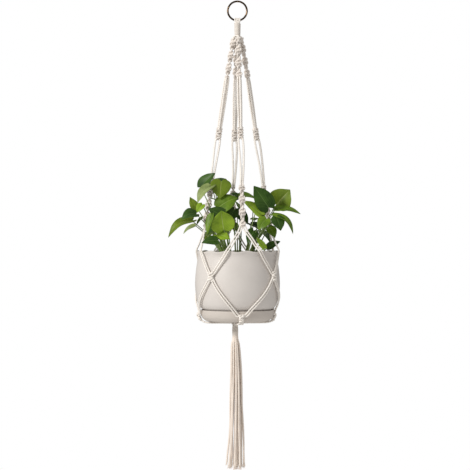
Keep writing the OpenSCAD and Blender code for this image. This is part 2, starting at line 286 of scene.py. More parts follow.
def cotton_material(name, light, dark):
    """Soft twisted cotton: fine fibres along each ply and faint uneven tone."""
    material, tree, shader = new_material(name, light, 0.92, Sheen_Weight=0.25, Sheen_Roughness=0.5,
                                          Specular_IOR_Level=0.2)
    fibres = noise(tree, coordinates(tree, "UV", (34, 5, 1)), 1.6, 5.0, 0.7)
    cloudy = noise(tree, coordinates(tree, "Object"), 60.0, 3.0)
    mix = tree.nodes.new("ShaderNodeMath")
    mix.operation = "MULTIPLY_ADD"
    mix.inputs[1].default_value = 0.55
    tree.links.new(fibres, mix.inputs[0])
    half = tree.nodes.new("ShaderNodeMath")
    half.operation = "MULTIPLY"
    half.inputs[1].default_value = 0.45
    tree.links.new(cloudy, half.inputs[0])
    tree.links.new(half.outputs[0], mix.inputs[2])
    tree.links.new(ramp(tree, mix.outputs[0], [(0.3, dark), (0.6, light)]), shader.inputs["Base Color"])
    bump(tree, shader, fibres, 0.45, 0.0004)
    return material


def glaze_material(name, light, dark):
    """Matt, slightly grainy off-white ceramic with faint cloudy tone."""
    material, tree, shader = new_material(name, light, 0.48, Specular_IOR_Level=0.42)
    where = coordinates(tree, "Object")
    cloudy = noise(tree, where, 9.0, 5.0, 0.6)
    grain = noise(tree, where, 900.0, 3.0)
    tree.links.new(ramp(tree, cloudy, [(0.36, dark), (0.64, light)]), shader.inputs["Base Color"])
    bump(tree, shader, grain, 0.18, 0.0004)
    return material


def brass_material():
    material, tree, shader = new_material("brass", (0.20, 0.13, 0.07), 0.2, Metallic=1.0)
    where = coordinates(tree, "Object")
    tarnish = noise(tree, where, 120.0, 6.0, 0.65)
    tree.links.new(ramp(tree, tarnish, [(0.3, (0.07, 0.045, 0.03)), (0.7, (0.26, 0.17, 0.095))]),
                   shader.inputs["Base Color"])
    rough = tree.nodes.new("ShaderNodeMapRange")
    rough.inputs["To Min"].default_value = 0.14
    rough.inputs["To Max"].default_value = 0.38
    tree.links.new(tarnish, rough.inputs["Value"])
    tree.links.new(rough.outputs["Result"], shader.inputs["Roughness"])
    bump(tree, shader, noise(tree, where, 700.0, 2.0), 0.12, 0.0003)
    return material


def soil_material():
    material, tree, shader = new_material("soil", (0.05, 0.035, 0.025), 0.95, Specular_IOR_Level=0.2)
    crumbs = noise(tree, coordinates(tree, "Object"), 240.0, 6.0, 0.7)
    tree.links.new(ramp(tree, crumbs, [(0.35, (0.015, 0.010, 0.007)), (0.7, (0.11, 0.075, 0.05))]),
                   shader.inputs["Base Color"])
    bump(tree, shader, crumbs, 0.8, 0.002)
    return material


def stalk_material():
    material, tree, shader = new_material("stalk", (0.20, 0.28, 0.07), 0.4)
    streaks = noise(tree, coordinates(tree, "UV", (6, 1, 1)), 4.0, 3.0)
    tree.links.new(ramp(tree, streaks, [(0.3, (0.10, 0.17, 0.035)), (0.7, (0.30, 0.40, 0.12))]),
                   shader.inputs["Base Color"])
    return material


def leaf_material(name, dark, light, vein, gloss):
    """A leaf: UV x runs from base to tip, UV y from edge to edge through 0.5."""
    material, tree, shader = new_material(name, light, gloss, Specular_IOR_Level=0.2)
    link, nodes = tree.links.new, tree.nodes
    source = nodes.new("ShaderNodeTexCoord")
    split = nodes.new("ShaderNodeSeparateXYZ")
    link(source.outputs["UV"], split.inputs[0])

    def math_node(operation, a, b=None):
        node = nodes.new("ShaderNodeMath")
        node.operation = operation
        for socket, value in zip(node.inputs, (a, b)):
            if isinstance(value, (int, float)):
                socket.default_value = value
            elif value is not None:
                link(value, socket)
        return node.outputs[0]

    across = math_node("ABSOLUTE", math_node("SUBTRACT", split.outputs["Y"], 0.5))
    slant = math_node("SUBTRACT", split.outputs["X"], math_node("MULTIPLY", across, 0.55))
    wave = math_node("SINE", math_node("MULTIPLY", slant, 50.0))
    side_veins = math_node("POWER", math_node("ABSOLUTE", wave), 12.0)
    midrib = math_node("SUBTRACT", 1.0, math_node("MULTIPLY", across, 42.0))
    midrib = math_node("MAXIMUM", midrib, 0.0)
    blotch = noise(tree, coordinates(tree, "Object"), 42.0, 5.0, 0.6)
    body = ramp(tree, blotch, [(0.32, dark), (0.66, light)])
    veins = math_node("MINIMUM", math_node("ADD", midrib, math_node("MULTIPLY", side_veins, 0.35)), 1.0)
    mixed = nodes.new("ShaderNodeMix")
    mixed.data_type = "RGBA"
    link(veins, mixed.inputs["Factor"])
    link(body, mixed.inputs["A"])
    mixed.inputs["B"].default_value = (*vein, 1)
    link(mixed.outputs["Result"], shader.inputs["Base Color"])
    bump(tree, shader, math_node("SUBTRACT", 1.0, veins), 0.35, 0.0006)
    return material


COTTON = cotton_material("cotton", (0.95, 0.90, 0.84), (0.84, 0.78, 0.71))
# The wraps' cotton is the cords' cotton made darker: painted shade for the shade between the tight coils.
WRAP_COTTON_PAINTED_SHADE = cotton_material("wrap_cotton_painted_shade", (0.80, 0.745, 0.685), (0.68, 0.62, 0.55))
# The arm knots' cotton is the cords' cotton made darker: painted shade for the shade inside the packed knots.
KNOT_COTTON_PAINTED_SHADE = cotton_material("knot_cotton_painted_shade", (0.86, 0.80, 0.74), (0.70, 0.63, 0.56))
TASSEL_COTTON = cotton_material("tassel_cotton", (0.93, 0.83, 0.74), (0.80, 0.70, 0.61))
GLAZE = glaze_material("pot_glaze", (0.69, 0.646, 0.605), (0.63, 0.587, 0.547))
# The saucer's glaze is the pot's glaze made darker and warmer: painted shade for the saucer lying in the shadow
# below the pot.
SAUCER_GLAZE_PAINTED_SHADE = glaze_material("saucer_glaze", (0.63, 0.572, 0.515), (0.57, 0.515, 0.462))
BRASS = brass_material()
SOIL = soil_material()
STALK = stalk_material()
LEAF_DARK = leaf_material("leaf_dark", (0.016, 0.048, 0.006), (0.045, 0.105, 0.013), (0.12, 0.20, 0.05), 0.36)
LEAF_MID = leaf_material("leaf_mid", (0.055, 0.120, 0.005), (0.145, 0.250, 0.012), (0.24, 0.33, 0.08), 0.38)
LEAF_LIME = leaf_material("leaf_lime", (0.165, 0.29, 0.008), (0.31, 0.47, 0.025), (0.42, 0.52, 0.16), 0.40)
LEAF_OLIVE = leaf_material("leaf_olive", (0.070, 0.120, 0.005), (0.155, 0.235, 0.012), (0.28, 0.32, 0.08), 0.40)
LEAF_GREY = leaf_material("leaf_grey", (0.15, 0.20, 0.055), (0.30, 0.37, 0.13), (0.42, 0.48, 0.24), 0.45)


# ---------------------------------------------------- camera and the cords

def aim(obj, target):
    direction = vec(*target) - vec(*obj.location)
    yaw = math.atan2(direction[1], direction[0]) - math.pi / 2
    pitch = math.atan2(direction[2], math.hypot(direction[0], direction[1]))
    obj.rotation_euler = (math.pi / 2 + pitch, 0, yaw)


def make_camera():
    data = bpy.data.cameras.new("camera")
    camera = bpy.data.objects.new("camera", data)
    bpy.context.scene.collection.objects.link(camera)
    distance, frame_height = 3.2, 1.0575
    camera.location = (-0.0054, -distance, -0.5236)
    camera.rotation_euler = (math.pi / 2, 0, 0)
    data.sensor_width = 36.0
    data.lens = 36.0 * distance / frame_height
    data.clip_end = 50
    bpy.context.scene.camera = camera


class ArmAxis:
    """The straight line that an arm's cords follow, with a way across and a way out."""

    def __init__(self, i, upper=False):
        a = arm_angle(i)
        if upper:
            top, foot = polar(ARM_TOP_R, a, SPIRAL_TOP_Z), polar(ARM_KNEE_R, a, SPIRAL_FOOT_Z)
        else:
            top, foot = polar(ARM_KNEE_R, a, SPIRAL_FOOT_Z), polar(ARM_FOOT_R, a, SENNIT_FOOT_Z)
        self.top, self.down = top, unit(foot - top)
        self.across = polar(1, a + 90, 0)
        self.out = np.cross(self.down, self.across)
        if np.dot(self.out, polar(1, a, 0)) < 0:
            self.out = -self.out

    def at(self, z, x=0.0, y=0.0):
        """The point at height z on the line, moved x across and y outwards."""
        along = (z - self.top[2]) / self.down[2]
        return self.top + self.down * along + self.across * x + self.out * y


def upper_places(i):
    """The four cords of an arm between its spiral and its square knot."""
    turn = math.radians(25 + 14 * i)
    c, s = math.cos(turn), math.sin(turn)
    half = PAIR_GAP / 2
    return [(c * x - s * y, s * x + c * y) for x in (-half, half) for y in (-half, half)]


def make_upper_cords():
    for i, arm in enumerate(ARMS):
        axis = ArmAxis(i)
        for k, (x, y) in enumerate(upper_places(i)):
            shape = Shape()
            bow = 0.5 + 0.25 * ((i + 2 * k) % 3)
            w_arm = UPPER_WIDTH[i]
            points = [axis.at(z, x * (w * w_arm + bow * b), y * (w * w_arm + bow * b)) for z, w, b in (
                (SPIRAL_FOOT_Z + 1, 1.0, 0), (-180, 1.22, 0.05), (-195, 1.2, 0.12), (-228, 1.12, 0.28),
                (-260, 1.06, 0.12), (-276, 1.0, 0.05), (MID_TOP_Z - 1, 0.85, 0))]
            path = rope(shape, points, radius=2.15, phase=0.7 * i + 1.9 * k)
            nodes = [f"{arm}_upper_cords"] if k == 0 else []
            cord = shape.piece(f"{arm}_upper_cord_{k + 1}", COTTON, "hanger", nodes)


def make_tassel():
    """Twenty-four loose strands below the bottom wrap, with frayed ends."""
    rng = random.Random(41)
    ends = Shape()
    top_z = BOTTOM_WRAP_FOOT_Z + 7
    foot_z = TASSEL_PIVOT_Z - TASSEL_LEN + 9
    for k in range(24):
        layer = 0 if k < 12 else 1 if k < 20 else 2
        turn = (30 * k, 45 * k + 12, 90 * k + 30)[layer] + 8 * rng.uniform(-1, 1)
        reach = (1.0, 0.62, 0.26)[layer]
        lag = rng.uniform(0, 2 * math.pi)
        drop = rng.uniform(-4, 4)
        points = []
        for z, r in ((top_z, 4.4), (-752, 4.7), (-760, 5.6), (-770, 8.2), (-795, 10.2), (-830, 11.6),
                     (-870, 12.6), (-910, 13.6), (-950, 14.8), (-985, 16.4), (-1015, 18.2), (foot_z, 19.8)):
            share = (z - top_z) / (foot_z - top_z)
            sway = 1.2 * share * math.sin(0.045 * z + lag)
            point = polar(max(r * reach + sway, 0.4), turn + 22 * share * math.sin(lag), z)
            lean = 1.6 * share + 1.8 * math.sin(math.pi * share)
            points.append(point + vec(GATHER_X + lean, 0, drop * share))
        shape = Shape()
        path = rope(shape, points, radius=2.1, phase=lag, pitch=15.0, groove=0.24)
        nodes = ["tassel"] if k == 0 else []
        strand = shape.piece(f"tassel_strand_{k + 1}", TASSEL_COTTON, None, nodes)
        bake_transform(strand)
        tip, way = path[-1], unit(path[-1] - path[-6])
        for _ in range(16):
            spread = polar(1, rng.uniform(0, 360), 0)
            start = tip + spread * rng.uniform(0.2, 1.8) - way * 1.5
            size = rng.uniform(6, 11)
            flare = rng.uniform(0.05, 0.32)
            curl = polar(1, rng.uniform(0, 360), 0) * rng.uniform(-0.8, 0.8)
            thread = [start + way * size * t + spread * size * flare * t * t + curl * math.sin(3 * t)
                      for t in (0, 0.33, 0.66, 1)]
            thread = smooth_path(thread, 2.2)
            sweep(ends, thread, np.linspace(0.42, 0.16, len(thread)), 4)
    ends.piece("tassel_frayed_ends", TASSEL_COTTON, "tassel", ())


make_camera()
make_upper_cords()
make_tassel()


# ------------------------------------------------------------- the hanger

def spiral_knots(shape, at, length, count, wide, deep, radius, turn_each, phase, ease=4.0):
    """Half knots down a line: two straight core cords, and two working cords that
    circle them half a turn apart, wide at the sides; the whole turns steadily."""
    def place(x, y, s):
        a = phase + math.radians(turn_each) * s / length * count
        c, n = math.cos(a), math.sin(a)
        return at(s, c * x - n * y, n * x + c * y)

    for side in (-1, 1):
        core = [place(side * radius * 0.85, 0, s) for s in np.linspace(-1, length + 1, 14)]
        rope(shape, core, radius * 0.95, phase=side)
    for start in (0, math.pi):
        points = []
        for j in range(count * 8 + 1):
            u = j / 8
            a = start + math.pi * u
            swell = min(1, 0.74 + u / ease, 0.74 + (count - u) / ease)
            hook = 1 + 0.16 * abs(math.cos(a)) ** 3
            x = wide * hook * swell * math.cos(a)
            y = deep * swell * math.sin(a)
            s = length * (u + 0.16 * math.sin(2 * a)) / count
            points.append(place(x, y, min(max(s, 0), length)))
        rope(shape, points, radius, step=0.95, phase=start)


def square_knot(shape, at, length, passes, wide, deep, radius):
    """A flat knot: one cord lies across the front in every pass, the other across the back."""
    for face in (-1, 1):
        points = [at(-1.5, face * wide * 0.55, 0)]
        for j in range(passes):
            start = face * (-1) ** j
            for t in np.linspace(0, 1, 9)[(1 if j else 0):]:
                x = start * wide * math.cos(math.pi * t)
                bulge = math.sin(math.pi * t) ** 0.8 - 0.35 * abs(math.cos(math.pi * t)) ** 6
                y = face * deep * bulge
                s = length * (j + t * 0.9 + 0.05) / passes
                points.append(at(s, x, y))
        points.append(at(length + 1.5, face * (-1) ** passes * wide * 0.55, 0))
        rope(shape, points, radius, step=0.95, phase=1.7 * face)
    for side in (-1, 1):
        core = [at(s, side * radius * 0.95, 0) for s in np.linspace(-1.5, length + 1.5, 9)]
        rope(shape, core, radius * 0.95, phase=side)


def make_arm_knots():
    for i, arm in enumerate(ARMS):
        top = ArmAxis(i, upper=True)
        low = ArmAxis(i)

        def on(axis, z_from):
            """Turns a distance down the arm and a place across it into a point."""
            start = axis.at(z_from)
            return lambda s, x, y: start + axis.down * s + axis.across * x + axis.out * y

        shape = Shape()
        length = (SPIRAL_TOP_Z - SPIRAL_FOOT_Z) / -top.down[2]
        wide = 4.6 if i % 2 else 5.4
        spiral_knots(shape, on(top, SPIRAL_TOP_Z), length, 13, wide, 2.9, 2.15, -45, 0.5 + 0.9 * i, ease=1.6)
        shape.piece(f"{arm}_spiral_knots", KNOT_COTTON_PAINTED_SHADE, "hanger", [f"{arm}_spiral"])

        shape = Shape()
        length = (SENNIT_TOP_Z - SENNIT_FOOT_Z) / -low.down[2]
        spiral_knots(shape, on(low, SENNIT_TOP_Z), length, 13, 5.4, 2.7, 2.15, -45, 0.6 + 0.9 * i, ease=2.6)
        shape.piece(f"{arm}_sennit_knots", KNOT_COTTON_PAINTED_SHADE, "hanger", [f"{arm}_sennit"])

        # The flat face of every square knot looks forwards
        shape = Shape()
        start = low.at(MID_TOP_Z)
        if i % 2:
            wide_way, deep_way = low.out, low.across
        else:
            wide_way, deep_way = low.across, low.out
        length = (MID_TOP_Z - MID_FOOT_Z) / -low.down[2]
        square_knot(shape, lambda s, x, y: start + low.down * s + wide_way * x + deep_way * y,
                    length, 4, 5.3, 3.5, 2.1)
        shape.piece(f"{arm}_square_knot", KNOT_COTTON_PAINTED_SHADE, "hanger", [f"{arm}_mid_knot"])

        # Two pairs below it, wide apart at the knot and drawn together above the sennit
        shape = Shape()
        for side in (-1, 1):
            for c in (-1, 1):
                points = []
                for z, apart, gap in ((MID_FOOT_Z + 1, 3.4, 1.5), (-313, 5.0, 1.7), (-325, 5.2, 1.9),
                                      (-345, 4.5, 2.1), (-370, 3.4, 2.2), (-395, 2.6, 2.2),
                                      (SENNIT_TOP_Z - 1, 2.0, 1.8)):
                    across, outward = side * apart, c * gap
                    middle = math.sin(math.pi * (MID_FOOT_Z - z) / (MID_FOOT_Z - SENNIT_TOP_Z))
                    place = low.at(z) + wide_way * across + deep_way * outward
                    place = place + vec(LOWER_DRIFT[i] * middle, 0, 0)
                    points.append(place)
                rope(shape, points, radius=2.15, phase=side + 2.0 * c + i)
        shape.piece(f"{arm}_lower_cord_run", COTTON, "hanger", [f"{arm}_lower_cords"])


def drawn_in(i, z):
    """The right arm's cords lie closer to the saucer than the others."""
    return 3.6 * min(1.0, max(0.0, (-655 - z) / 45)) if i == 1 else 0.0


def on_net(s, c, row, turn, lean):
    z, share, r = row
    a = turn + s * 45 * share
    return polar(r, a + s * c * 0.92 * PAIR_GAP * 57.3 / r, z + lean * c * 0.60 * PAIR_GAP)


# Drawn thinner than the arms' cords, so that the two cords of a pair read apart
NET_CORD_R = 1.85


def make_net():
    for i, arm in enumerate(ARMS):
        shape = Shape()
        low = ArmAxis(i)
        for s in (-1, 1):
            for c in (-0.5, 0.5):
                start = low.at(SENNIT_FOOT_Z + 9, 0, 0) + low.across * (s * (2.1 + 1.6 * c)) + low.out * c * 2
                knot_way = polar(1, side_angle(i if s < 0 else (i + 1) % 4) + 90, 0)
                knot = polar(SIDE_KNOT_R, side_angle(i if s < 0 else (i + 1) % 4), SIDE_KNOT_Z + 4)
                points = [start] + [on_net(s, c, row, arm_angle(i), 1) for row in NET_ROUTE]
                points.append(knot - knot_way * s * (2.6 - 2.4 * c))
                rope(shape, points, NET_CORD_R, phase=s + 3 * c + i)
        shape.piece(f"{arm}_net_cord_run", COTTON, "hanger", [f"{arm}_net_cords"])

        shape = Shape()
        rim = polar(RIM_KNOT_R - drawn_in(i, RIM_KNOT_Z), rim_angle(i), RIM_KNOT_Z + 5)
        rim_way = polar(1, rim_angle(i) + 90, 0)
        for s in (-1, 1):
            side = side_angle(i if s < 0 else (i + 1) % 4)
            knot = polar(SIDE_KNOT_R, side, SIDE_KNOT_Z - 4)
            side_way = polar(1, side + 90, 0)
            for c in (-0.5, 0.5):
                points = [knot - side_way * s * (2.6 - 2.4 * c)]
                for row in CRADLE_ROUTE:
                    turn = arm_angle(i) + (RIM_TURN - ARMS_TURN) * (1 - row[1])
                    row = (row[0], row[1], row[2] - drawn_in(i, row[0]))
                    points.append(on_net(s, c, row, turn, -1))
                points.append(rim + rim_way * s * (2.6 + 2.4 * c))
                rope(shape, points, NET_CORD_R, phase=s + 2.2 * c + i)
        shape.piece(f"{arm}_cradle_cord_run", COTTON, "hanger", [f"{arm}_cradle_cords"])


def make_side_and_rim_knots():
    for i, side in enumerate(SIDE_KNOTS):
        a = side_angle(i)
        centre = polar(SIDE_KNOT_R, a, SIDE_KNOT_Z + 9)
        across, out = polar(1, a + 90, 0), polar(1, a, 0)
        shape = Shape()
        square_knot(shape, lambda s, x, y: centre + vec(0, 0, -s) + across * x + out * (y + 0.6),
                    18, 3, 5.6, 3.2, 1.95)
        shape.piece(f"{side}_net_knot", COTTON, "hanger", [f"{side}_knot"])
    for i, arm in enumerate(ARMS):
        a = rim_angle(i)
        tilt = math.radians(RIM_KNOT_TILT)
        down = polar(-math.sin(tilt), a, -math.cos(tilt))
        across = polar(1, a + 90, 0)
        out = polar(math.cos(tilt), a, -math.sin(tilt))
        near = drawn_in(i, RIM_KNOT_Z)
        start = polar(RIM_KNOT_R - near, a, RIM_KNOT_Z - 0.7 * near) - down * 8 + out * 0.4
        shape = Shape()
        square_knot(shape, lambda s, x, y: start + down * s + across * x + out * y, 15, 3, 4.4, 2.7, 1.75)
        shape.piece(f"{arm}_saucer_knot", COTTON, "hanger", [f"{arm}_rim_knot"])


def base_points(i, k):
    a = rim_angle(i)
    foot, mid = polar(RIM_FOOT_R, a, 0), vec(GATHER_X, 0, 0)
    side = polar((k - 1.5) * (CORD_D + 0.1), a + 90, 0)
    rows = [foot * (1 - p) + mid * p + side * min(1, 0.35 + 4 * p) * (1 - 0.35 * p) + vec(0, 0, z)
            for p, z in BASE_ROUTE]
    start = polar(RIM_FOOT_R + 2.4 - drawn_in(i, -709), a, -709) + side * 0.4
    return [start] + rows


def make_base_cords():
    """Sixteen cords run in under the saucer, turn down and enter the bottom wrap."""
    turn_down = Shape()
    for i, arm in enumerate(ARMS):
        shape = Shape()
        for k in range(4):
            points = base_points(i, k)
            rope(shape, points, phase=i + 1.3 * k)
            away = unit((points[-1] - vec(GATHER_X, 0, 0)) * vec(1, 1, 0))
            hub = vec(GATHER_X, 0, 0)
            bend = [points[-2], points[-1]]
            ring = 4.3 if k in (0, 3) else 2.6
            bend.append(hub + away * (ring + 4.6) + vec(0, 0, GATHER_Z - 0.9))
            bend.append(hub + away * (ring + 1.0) + vec(0, 0, GATHER_Z - 3.8))
            bend.append(hub + away * ring + vec(0, 0, WRAP_PIVOT_Z + 1))
            bend.append(hub + away * ring * 0.9 + vec(0, 0, WRAP_PIVOT_Z - 6))
            rope(turn_down, bend, radius=1.9, phase=i + 1.3 * k)
        shape.piece(f"{arm}_base_cord_run", COTTON, "hanger", [f"{arm}_base_cords"])
    gather = turn_down.piece("gathered_cords", COTTON, None, ["base_gather"])
    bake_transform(gather)


def coil(shape, centre, z_top, z_foot, radius_at, cord_r, turns, phase=0.0):
    """A cord wound tightly down a bundle; radius_at gives its path radius from 0 to 1."""
    steps = int(turns * 26)
    points = []
    for j in range(steps + 1):
        t = j / steps
        points.append(centre + polar(radius_at(t), 360 * turns * t + phase, z_top + (z_foot - z_top) * t))
    rope(shape, points, cord_r, step=1.0, phase=phase, groove=0.12)


def make_wraps():
    shape = Shape()
    coil(shape, vec(0, 0, 0), WRAP_TOP_Z + 1.0, WRAP_FOOT_Z + 1.6, lambda t: 5.9 - 0.6 * t, 1.7, 9.2, 40)
    shape.piece("top_wrapping", WRAP_COTTON_PAINTED_SHADE, "hanger", ["top_wrap"])

    # Sixteen cords below the wrap part into the four arms
    shape = Shape()
    for i in range(4):
        axis = ArmAxis(i, upper=True)
        for k in range(4):
            x, y = (-1.6, 1.6, -1.6, 1.6)[k], (-1.5, -1.5, 1.5, 1.5)[k]
            top = polar(2.9, arm_angle(i) + 26 * (k - 1.5), WRAP_FOOT_Z + 6)
            points = [top, top + vec(0, 0, -5), axis.at(SPIRAL_TOP_Z + 1, x * 0.8, y * 0.8),
                      axis.at(SPIRAL_TOP_Z - 4, x, y), axis.at(SPIRAL_TOP_Z - 9, x * 0.9, y * 0.9)]
            rope(shape, points, 1.7, phase=i + k)
    shape.piece("parting_cords", COTTON, "hanger", ["cord_bundle"])

    shape = Shape()
    coil(shape, vec(GATHER_X, 0, 0), WRAP_PIVOT_Z + 1.6, BOTTOM_WRAP_FOOT_Z + 1.8,
         lambda t: 5.5 - 0.2 * math.cos(6.3 * t), 1.6, 6.4, 200)
    shape.piece("bottom_wrapping", WRAP_COTTON_PAINTED_SHADE, "bottom_wrap", ["bottom_wrap"])


def make_ring_and_loops():
    shape = Shape()
    around = [vec(RING_R * math.sin(a), 0, RING_Z + RING_R * math.cos(a))
              for a in np.linspace(0, 2 * math.pi, 145)]
    n, sides = 144, 24
    verts, uv, faces = [], [], []
    for k in range(n):
        outward = unit(around[k] - vec(0, 0, RING_Z))
        for j in range(sides):
            b = 2 * math.pi * j / sides
            verts.append(around[k] + WIRE_R * (math.cos(b) * outward + math.sin(b) * vec(0, 1, 0)))
            uv.append((k / n, j / sides))
            m, q = (k + 1) % n, (j + 1) % sides
            faces.append((k * sides + j, k * sides + q, m * sides + q, m * sides + j))
    shape.add(verts, faces, uv)
    shape.piece("brass_ring", BRASS, "ring", ["ring"])

    # The folded cords pass around the ring's wire and run down into the wrap
    shape = Shape()
    for k in range(4):
        along = (k - 1.5) * 3.7
        a = along / RING_R
        outward = vec(math.sin(a), 0, -math.cos(a))
        wire = vec(0, 0, RING_Z) + outward * RING_R
        hug = WIRE_R + 2.0
        points = []
        inner = vec(along * 0.55, 0, 0)
        for side in (1, -1):
            arc = []
            for b in np.linspace(0, 100, 7):
                r = math.radians(b)
                arc.append(wire - outward * hug * math.cos(r) + vec(0, side * hug * math.sin(r), 0))
            down = [inner + vec(0, side * 3.5, -46.2), inner * 0.9 + vec(0, side * 2.6, -50),
                    inner * 0.8 + vec(0, side * 2.0, -56)]
            points = (arc + down)[::-1] if side == 1 else points + (arc + down)[1:]
        rope(shape, points, 1.85, step=0.9, phase=k)
    loops = shape.piece("ring_loop_cords", COTTON, None, ["ring_loops"])
    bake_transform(loops)


make_arm_knots()
make_net()
make_side_and_rim_knots()
make_base_cords()
make_wraps()
make_ring_and_loops()


# -------------------------------------------------- pot, saucer and soil

POT_OUTSIDE = [
    (0, -714.2), (64, -714.2), (68.5, -712), (72, -700), (76, -692), (83, -687), (88, -680),
    (92, -668), (94.8, -650), (95.6, -634), (94.8, -615), (92.6, -595), (90, -580), (89, -572),
    (89.6, -566), (91.4, -560.6)]
POT_INSIDE = [
    (87.6, -560.4), (86, -565), (85, -572), (86, -580), (88.6, -595), (90.8, -615), (91.6, -634),
    (90.8, -650), (88, -666), (83.5, -678), (76, -686), (68, -703.2), (62, -709.2), (0, -709.2)]
WAVE_REACH = 12.0


def lip_wave(degrees, r, z):
    """Waves in the lip that fade out below it, and a faintly uneven wall."""
    near = max(0.0, 1 - (-559 - z) / WAVE_REACH)
    ripple = math.cos(math.radians(LIP_WAVES * (degrees + 90)))
    uneven = 0.25 * math.sin(math.radians(3 * degrees + 40)) + 0.18 * math.sin(math.radians(7 * degrees))
    return r + near * 0.5 * ripple + uneven * min(1, r / 60), z - near * 1.5 * (1 + ripple) + near * 1.0


def make_pot():
    shape = Shape()
    lip = [(91.2, -559.4), (89.6, -558.9), (88.1, -559.5)]
    revolve(shape, fillet(POT_OUTSIDE) + fillet(lip) + fillet(POT_INSIDE), 234, lip_wave)
    shape.piece("round_pot", GLAZE, "pot", ["pot"])


def make_saucer():
    shape = Shape()
    r = SAUCER_R
    profile = fillet([
        (0, SAUCER_Z), (r - 14.5, SAUCER_Z), (r - 8, -713), (r - 3, -707.5), (r - 0.9, -701.5), (r, -692.6),
        (r - 0.6, -691.5), (r - 2.6, -691.5), (r - 3.1, -693), (r - 4, -703.5), (r - 10, -712.4),
        (r - 15, -714.5), (0, -714.5)])
    revolve(shape, profile, 200)
    shape.piece("round_saucer", SAUCER_GLAZE_PAINTED_SHADE, "hanger", ["saucer"])


def make_soil():
    """Crumbly soil, mounded towards the middle, with loose grains on top."""
    rng = random.Random(7)
    top = LIP_Z - SOIL_DROP
    shape = Shape()
    rings, segments = 46, 120
    verts, uv, faces = [], [], []
    for j in range(rings + 1):
        r = 85.6 * j / rings
        for k in range(segments):
            rough = rng.uniform(-0.7, 0.7) + 0.9 * math.sin(0.21 * r + k * 0.31) * math.sin(k * 0.17)
            verts.append(polar(r, 360 * k / segments, top + 3.6 * (1 - r / 86) + rough * (j > 0)))
            uv.append((r / 86, k / segments))
    for r, drop in ((85.2, 8), (40, 10), (0, 10)):
        verts += [polar(r, 360 * k / segments, top - drop) for k in range(segments)]
        uv += [(1, k / segments) for k in range(segments)]
    for j in range(rings + 3):
        for k in range(segments):
            m = (k + 1) % segments
            faces.append((j * segments + k, (j + 1) * segments + k, (j + 1) * segments + m, j * segments + m))
    shape.add(verts, faces, uv)
    for _ in range(420):
        r, a = 84 * math.sqrt(rng.random()), rng.uniform(0, 360)
        size = rng.uniform(0.8, 2.4)
        grain = polar(r, a, top + 3.6 * (1 - r / 86) + 0.5)
        corners = [unit(vec(x, y, z)) * size * rng.uniform(0.7, 1.2)
                   for x, y, z in ((1, 0, 0), (-1, 0, 0), (0, 1, 0), (0, -1, 0), (0, 0, 1), (0, 0, -1))]
        shape.add([grain + c for c in corners], [(0, 2, 4), (2, 1, 4), (1, 3, 4), (3, 0, 4),
                                                 (2, 0, 5), (1, 2, 5), (3, 1, 5), (0, 3, 5)])
    shape.piece("potting_soil", SOIL, "pot", ["soil"])


make_pot()
make_saucer()
make_soil()


# ---------------------------------------------------------------- the plant

